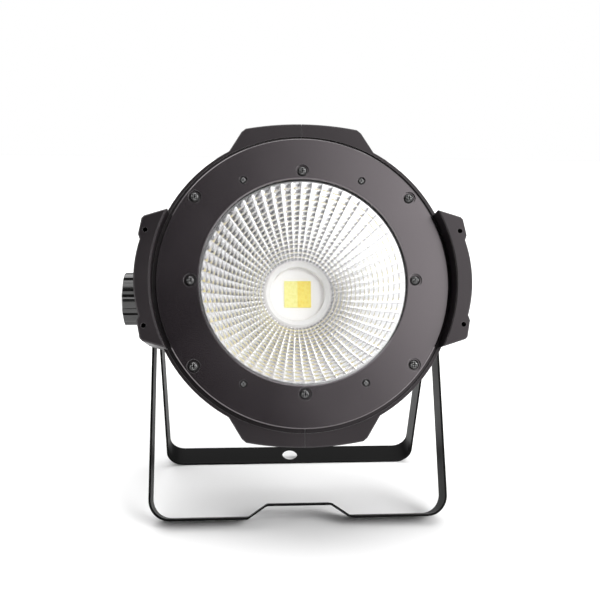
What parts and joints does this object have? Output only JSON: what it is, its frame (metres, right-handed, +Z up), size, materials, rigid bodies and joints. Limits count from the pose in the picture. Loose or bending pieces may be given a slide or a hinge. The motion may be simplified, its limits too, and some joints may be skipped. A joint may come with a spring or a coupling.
{
  "type": "par can light",
  "caption": "Stage wash lamp: round two-part housing with a faceted reflector behind glass, hung on two U-shaped yokes with side clamp knobs.",
  "frame": {"origin": "on the floor, at the middle of the lamp's box from left to right and front to back", "axes": "+Z up, -Y the way the lamp faces, +X to the right when the lamp is seen from the front"},
  "size_m": [0.3284, 0.252, 0.3527],
  "materials": {
    "housing_black": "satin",
    "bezel_black": "satin",
    "cover_black": "satin",
    "yoke_black": "satin",
    "black_rubber": "matte",
    "clear_glass": "gloss",
    "bright_aluminium": "polished",
    "raw_aluminium": "satin",
    "zinc_steel": "satin",
    "black_screws": "satin",
    "black_wire": "gloss",
    "white_plastic": "matte",
    "white_ceramic": "matte",
    "cool_phosphor": "satin",
    "warm_phosphor": "satin",
    "grey_pad": "matte",
    "fan_black": "satin",
    "driver_case": "satin",
    "circuit_board": "satin",
    "display_black": "matte",
    "smoked_window": "gloss",
    "socket_black": "satin",
    "contact_metal": "gloss",
    "latch_metal": "satin",
    "insert_brass": "satin",
    "washer_black": "matte",
    "button_grey": "satin",
    "knob_black": "gloss"
  },
  "bodies": {
    "front_yoke": {"front_yoke": "yoke_black", "yoke_spacers": "washer_black"},
    "head": {"left_housing": "housing_black", "right_housing": "housing_black", "front_bezel": "bezel_black", "bezel_gasket": "black_rubber", "glass_gasket": "black_rubber", "front_glass": "clear_glass", "reflector": "bright_aluminium", "clamp_ring": "zinc_steel", "axis_screws": "black_screws", "corner_screws": "black_screws", "small_screws": "black_screws", "led_collar": "white_plastic", "led_board": "white_ceramic", "cool_emitter": "cool_phosphor", "warm_emitter": "warm_phosphor", "thermal_pad": "grey_pad", "carrier_plate": "zinc_steel", "standoffs": "zinc_steel", "heatsink": "raw_aluminium", "fan_frame": "fan_black", "fan_guard": "black_wire", "power_supply": "driver_case", "control_board": "circuit_board", "display_module": "display_black", "display_window": "smoked_window", "button_switches": "fan_black", "rear_cover": "cover_black", "data_inlet": "socket_black", "data_outlet": "socket_black", "data_inlet_pins": "contact_metal", "power_inlet": "socket_black", "power_inlet_blades": "contact_metal", "power_outlet": "socket_black", "fuse_holder": "socket_black", "safety_eye": "zinc_steel", "cover_screws": "black_screws", "fan_screws": "black_screws", "shell_screws": "zinc_steel", "pivot_inserts": "insert_brass", "friction_washers": "washer_black"},
    "rear_yoke": {"rear_yoke": "yoke_black"},
    "fan_rotor": {"fan_rotor": "fan_black"},
    "data_latch": {"data_latch": "latch_metal"},
    "menu_button": {"menu_button": "button_grey"},
    "down_button": {"down_button": "button_grey"},
    "up_button": {"up_button": "button_grey"},
    "enter_button": {"enter_button": "button_grey"},
    "left_washer": {"left_knob_washer": "zinc_steel"},
    "right_washer": {"right_knob_washer": "zinc_steel"},
    "left_knob": {"left_knob": "knob_black", "left_stud": "zinc_steel"},
    "right_knob": {"right_knob": "knob_black", "right_stud": "zinc_steel"}
  },
  "joints": [
    {"name": "head_tilt", "type": "hinge", "parent": "front_yoke", "child": "head", "pos_m": [0, 0.01648, 0.191], "axis": [-1, 0, 0], "range_deg": [-38, 120]},
    {"name": "rear_yoke_swing", "type": "hinge", "parent": "front_yoke", "child": "rear_yoke", "pos_m": [0, 0.01648, 0.191], "axis": [1, 0, 0], "range_deg": [-36, 62]},
    {"name": "fan_spin", "type": "hinge", "parent": "head", "child": "fan_rotor", "pos_m": [0, 0.06105, 0.17609], "axis": [0, 0.9483, -0.3173], "continuous": true},
    {"name": "data_latch_push", "type": "slide", "parent": "head", "child": "data_latch", "axis": [0, -0.9483, 0.3173], "range_m": [0, 0.0015], "stiffness_N_per_m": 300},
    {"name": "menu_press", "type": "slide", "parent": "head", "child": "menu_button", "axis": [0, -0.9483, 0.3173], "range_m": [0, 0.0012], "stiffness_N_per_m": 400},
    {"name": "down_press", "type": "slide", "parent": "head", "child": "down_button", "axis": [0, -0.9483, 0.3173], "range_m": [0, 0.0012], "stiffness_N_per_m": 400},
    {"name": "up_press", "type": "slide", "parent": "head", "child": "up_button", "axis": [0, -0.9483, 0.3173], "range_m": [0, 0.0012], "stiffness_N_per_m": 400},
    {"name": "enter_press", "type": "slide", "parent": "head", "child": "enter_button", "axis": [0, -0.9483, 0.3173], "range_m": [0, 0.0012], "stiffness_N_per_m": 400},
    {"name": "left_knob_draw", "type": "slide", "parent": "head", "child": "left_washer", "axis": [-1, 0, 0], "range_m": [0, 0.0019]},
    {"name": "left_knob_turn", "type": "hinge", "parent": "left_washer", "child": "left_knob", "pos_m": [-0.1357, 0.01648, 0.191], "axis": [-1, 0, 0], "range_deg": [0, 540]},
    {"name": "right_knob_draw", "type": "slide", "parent": "head", "child": "right_washer", "axis": [1, 0, 0], "range_m": [0, 0.0019]},
    {"name": "right_knob_turn", "type": "hinge", "parent": "right_washer", "child": "right_knob", "pos_m": [0.1357, 0.01648, 0.191], "axis": [1, 0, 0], "range_deg": [0, 540]}
  ],
  "couplings": [
    {"joint": "left_knob_draw", "follows": "left_knob_turn", "m_per_rad": 0.00019894},
    {"joint": "right_knob_draw", "follows": "right_knob_turn", "m_per_rad": 0.00019894}
  ]
}
